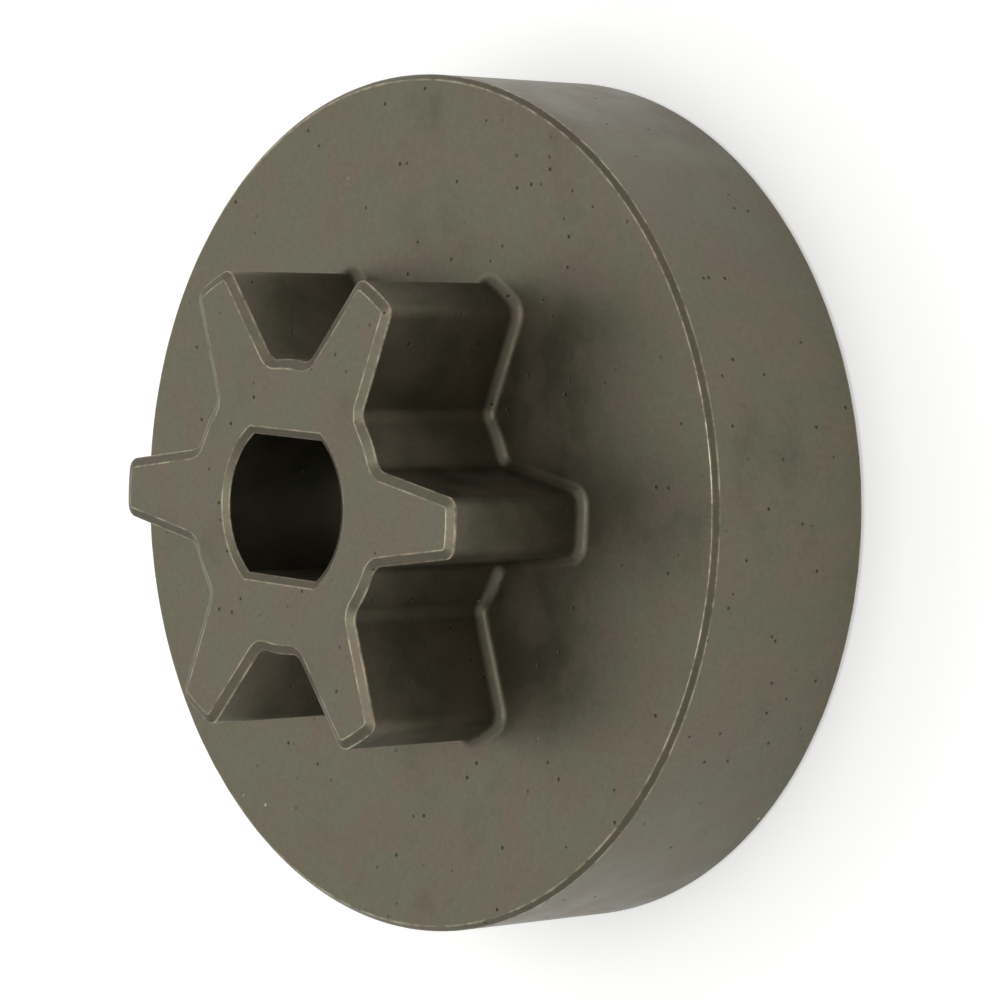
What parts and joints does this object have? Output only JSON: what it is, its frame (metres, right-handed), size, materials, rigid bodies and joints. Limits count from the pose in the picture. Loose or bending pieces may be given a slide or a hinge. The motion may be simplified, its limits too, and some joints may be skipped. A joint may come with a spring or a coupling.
{
  "type": "chainsaw drive sprocket",
  "caption": "Sintered steel drive sprocket: a star wheel that pulls the saw chain, in one piece with a round brake drum, on a shaft bore with two flats.",
  "frame": {"origin": "on the shaft's axis, in the plane of the drum's rear rim that the part rests on", "axes": "+Z along the shaft's axis towards the star's front face, +X through the middle of one tooth and parallel to the bore's flats, +Y square to the flats"},
  "size_m": [0.0504, 0.0504, 0.0218],
  "materials": {
    "sintered_steel": "satin, olive-brown sintered steel"
  },
  "bodies": {
    "root": {"drive_sprocket": "sintered_steel"}
  },
  "joints": []
}
